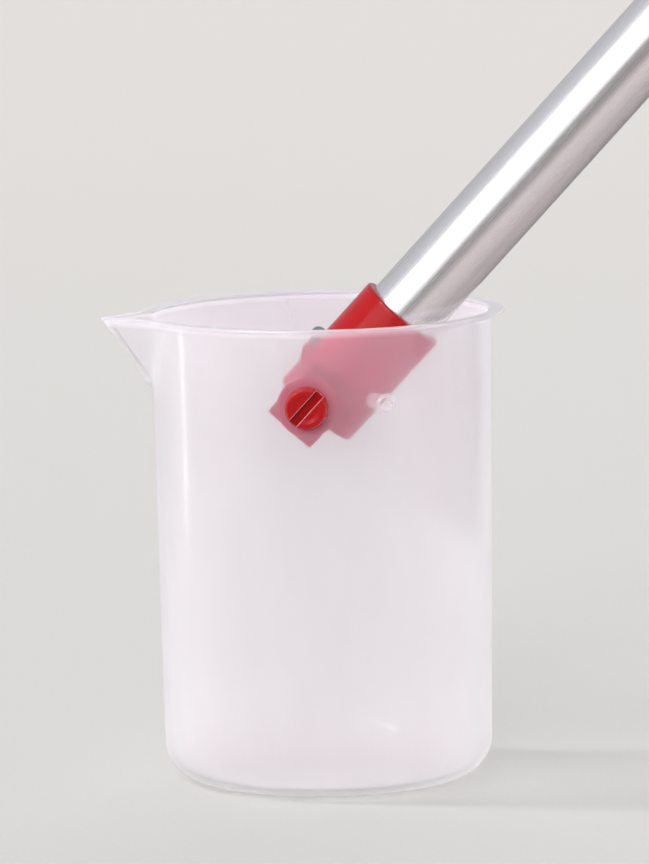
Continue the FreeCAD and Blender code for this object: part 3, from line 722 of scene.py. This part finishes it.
def make_materials():
    """The materials by the record's slot names."""
    return {
        "translucent_polypropylene": polypropylene(),
        "clear_plastic": clear_part("clear_plastic", 0.10, 0.12, (0.97, 0.96, 0.98, 1)),
        "clear_seal": clear_part("clear_seal", 0.30, 0.08, (0.98, 0.95, 0.97, 1)),
        # Red plastic gets painted edge highlights, painted shade in hollows and painted light behind the
        # beaker's wall.
        "red_plastic": moulded("red_plastic", (0.34, 0.003, 0.004, 1), (0.32, 0.002, 0.004, 1), 0.17,
                               shine=0.28, edge_highlight_colour=(0.95, 0.62, 0.64, 1)),
        "brass_insert": metal("brass_insert", (0.78, 0.57, 0.27, 1), (0.60, 0.42, 0.18, 1), 0.3),
        "spring_steel": metal("spring_steel", (0.62, 0.62, 0.63, 1), (0.48, 0.48, 0.50, 1), 0.25),
        "button_steel": metal("button_steel", (0.42, 0.42, 0.44, 1), (0.30, 0.30, 0.32, 1), 0.22),
        "anodised_aluminium": drawn_aluminium(),
        "dark_plastic": moulded("dark_plastic", (0.03, 0.03, 0.032, 1), (0.018, 0.018, 0.02, 1), 0.45,
                                texture=0.00006),
        "white_plastic": moulded("white_plastic", (0.80, 0.79, 0.76, 1), (0.72, 0.71, 0.68, 1), 0.38),
        "grip_rubber": grip_rubber(),
    }


def paint(materials):
    """Give each CAD node the material of its slot."""
    for node in frame["nodes"].values():
        slot_name = node.data.materials[0].name.split(".")[0]
        node.data.materials[0] = materials[slot_name]


# ---- studio ----

FLOOR_HALF = 40.0
FLOOR_DROP = 0.2 * MM
# The near and far tones are painted light; the mirrored tones are a painted reflection.
NEAR_TONES = ((0.490, 0.489, 0.475, 1), (0.512, 0.511, 0.497, 1))
FAR_TONES = ((0.535, 0.516, 0.496, 1), (0.557, 0.538, 0.518, 1))
FLOOR_PAINTED_REFLECTION_LIGHT = (0.58, 0.525, 0.525, 1)
FLOOR_PAINTED_REFLECTION_DARK = (0.04, 0.035, 0.035, 1)
DOME_TONE = (1.0, 0.99, 1.0, 1)
DOME_MIRRORED_TONE = (0.97, 0.97, 1.04, 1)
BACKDROP_TONE = (0.745, 0.725, 0.71, 1)

# Suns that give light but no highlights: name, direction, strength, width in degrees
SOFT_SUNS = (
    ("side", (-0.72, 0.07, 0.62), 1.55, 10.0),
    ("front", (-0.03, -0.89, 0.45), 0.70, 14.0),
    ("fill", (0.9, -0.05, 0.14), 1.0, 50.0),
    ("back", (0.10, 0.97, 0.12), 1.9, 60.0),
)


def make_floor():
    """Pale seamless floor, painted a little lighter and warmer towards the back; mirrored in the metal it
    shows a painted reflection, dark at the front and back and lighter between.
    """
    half = FLOOR_HALF
    corners = [(-half, -half, 0), (half, -half, 0), (half, half, 0), (-half, half, 0)]
    floor = mesh_object("studio_floor", corners, [(0, 1, 2, 3)])
    floor.location.z = -FLOOR_DROP
    material, g = new_material("studio_floor")
    place = g.place()
    mottle = g.noise(place, 700.0, 3.0, 0.7)
    depth = g.add("SeparateXYZ", {0: place}).outputs["Y"]
    near = g.blend(g.ramp(mottle, 0.3, 0.7), *NEAR_TONES)
    far = g.blend(g.ramp(mottle, 0.3, 0.7), *FAR_TONES)
    # Painted light: the floor is a little lighter and warmer towards the back.
    tone = g.blend(g.ramp(depth, -0.1, 2.5), near, far)
    # Painted reflection: to glossy rays the floor is dark in front and behind, lighter between.
    front = g.ramp(depth, -0.64, -0.38, 0.65, 0.0)
    behind = g.ramp(depth, -0.35, 0.30, 0.0, 0.62)
    mirrored = g.blend(g.math("MAXIMUM", front, behind), FLOOR_PAINTED_REFLECTION_LIGHT, FLOOR_PAINTED_REFLECTION_DARK)
    tone = g.blend(g.add("LightPath").outputs["Is Glossy Ray"], tone, mirrored)
    g.finish(g.add("BsdfPrincipled", {"Base Color": tone, "Roughness": 0.9,
                                      "Specular IOR Level": 0.1}).outputs[0])
    floor.data.materials.append(material)


def make_world():
    """Even pale surround for the camera. The lighting dome is brightest at the horizon."""
    world = bpy.data.worlds.new("studio")
    bpy.context.scene.world = world
    world.use_nodes = True
    g = Graph(world.node_tree)
    way = g.add("SeparateXYZ", {0: g.add("TexCoord").outputs["Generated"]})
    soft_level = g.ramp(way.outputs["Z"], 0.0, 1.0, 1.55, 0.05)
    front = g.ramp(way.outputs["Y"], -1.0, -0.2, 1.0, 0.0)
    dark = g.product(front, g.ramp(way.outputs["Z"], 0.0, 0.7, 1.0, 0.0))
    lifted = g.ramp(way.outputs["Y"], -0.2, 0.8, 0.72, 0.56)
    mirrored_level = g.product(g.rest(g.product(dark, 0.7)), lifted)
    soft = g.add("Background", {"Color": DOME_TONE, "Strength": soft_level}).outputs[0]
    mirrored = g.add("Background", {"Color": DOME_MIRRORED_TONE, "Strength": mirrored_level}).outputs[0]
    dome = g.mix(g.add("LightPath").outputs["Is Glossy Ray"], soft, mirrored)
    plain = g.add("Background", {"Color": BACKDROP_TONE, "Strength": 1.0}).outputs[0]
    output = g.add("OutputWorld")
    mixed = g.mix(g.add("LightPath").outputs["Is Camera Ray"], dome, plain)
    g.tree.links.new(mixed, output.inputs["Surface"])


def aim_matrix(position, target):
    """Placement of a lamp or camera that looks from position to target."""
    back = (position - target).normalized()
    return Matrix.Translation(position) @ back.to_track_quat("Z", "Y").to_matrix().to_4x4()


def sun(name, toward, strength, width):
    """Large distant soft light that comes from a direction; width is its angle in degrees."""
    data = bpy.data.lights.new(name, "SUN")
    data.energy = strength
    data.angle = math.radians(width)
    lamp = bpy.data.objects.new(name, data)
    bpy.context.scene.collection.objects.link(lamp)
    lamp.matrix_world = aim_matrix(Vector(toward), Vector((0, 0, 0)))
    return lamp


def strip(name, position, target, width, height, power):
    """Rectangular light that the camera doesn't see."""
    data = bpy.data.lights.new(name, "AREA")
    data.shape = "RECTANGLE"
    data.size = width
    data.size_y = height
    data.energy = power
    lamp = bpy.data.objects.new(name, data)
    bpy.context.scene.collection.objects.link(lamp)
    lamp.matrix_world = aim_matrix(Vector(position), Vector(target))
    lamp.visible_camera = False
    return lamp


def make_lights():
    """Key softbox at the upper left, suns on four sides, and a small sun and a strip for highlights only."""
    sun("key_core", view_side(39), 0.47, 20.0)
    sun("key_halo", view_side(37), 0.92, 64.0)
    for name, toward, strength, width in SOFT_SUNS:
        sun(name, toward, strength, width).visible_glossy = False
    sun("spark", (-0.58, -0.53, 0.62), 0.9, 6.0).visible_diffuse = False
    side_strip = strip("side_strip", (-0.42, 0.06, 0.065), (0, 0, 0.12), 0.03, 0.09, 0.05)
    side_strip.visible_diffuse = False


def view_side(angle):
    """Direction at an angle from the camera's, turned towards the upper left, square to the pole."""
    turn = math.radians(angle)
    upper_left = Vector((-math.cos(POLE_TILT), 0, math.sin(POLE_TILT)))
    return camera_back() * math.cos(turn) + upper_left * math.sin(turn)


def camera_back():
    """Direction from the object towards the camera."""
    az, el = CAMERA_AZIMUTH, CAMERA_ELEVATION
    return Vector((math.sin(az) * math.cos(el), -math.cos(az) * math.cos(el), math.sin(el)))


def make_camera():
    """Camera with a long lens, a little above the rim."""
    data = bpy.data.cameras.new("camera")
    camera = bpy.data.objects.new("camera", data)
    bpy.context.scene.collection.objects.link(camera)
    roll = CAMERA_ROLL
    back = camera_back()
    right = Vector((math.cos(CAMERA_AZIMUTH), math.sin(CAMERA_AZIMUTH), 0))
    up = back.cross(right)
    across = right * math.cos(roll) + up * math.sin(roll)
    upright = up * math.cos(roll) - right * math.sin(roll)
    turn = Matrix((across, upright, back)).transposed().to_4x4()
    camera.matrix_world = Matrix.Translation(AIM + back * CAMERA_DISTANCE) @ turn
    data.lens = CAMERA_LENS
    data.sensor_width = 36.0
    data.clip_start, data.clip_end = 0.05, 200.0
    bpy.context.scene.camera = camera


materials = make_materials()
paint(materials)
for piece, slot_name in ((make_beaker(), "translucent_polypropylene"), (make_clamp_screw(), "red_plastic")):
    piece.data.materials.clear()
    piece.data.materials.append(materials[slot_name])
make_leaf_spring()
make_floor()
make_world()
make_lights()
make_camera()
bpy.context.scene.view_settings.view_transform = "Standard"
bpy.context.scene.cycles.transparent_max_bounces = TRANSPARENT_BOUNCES
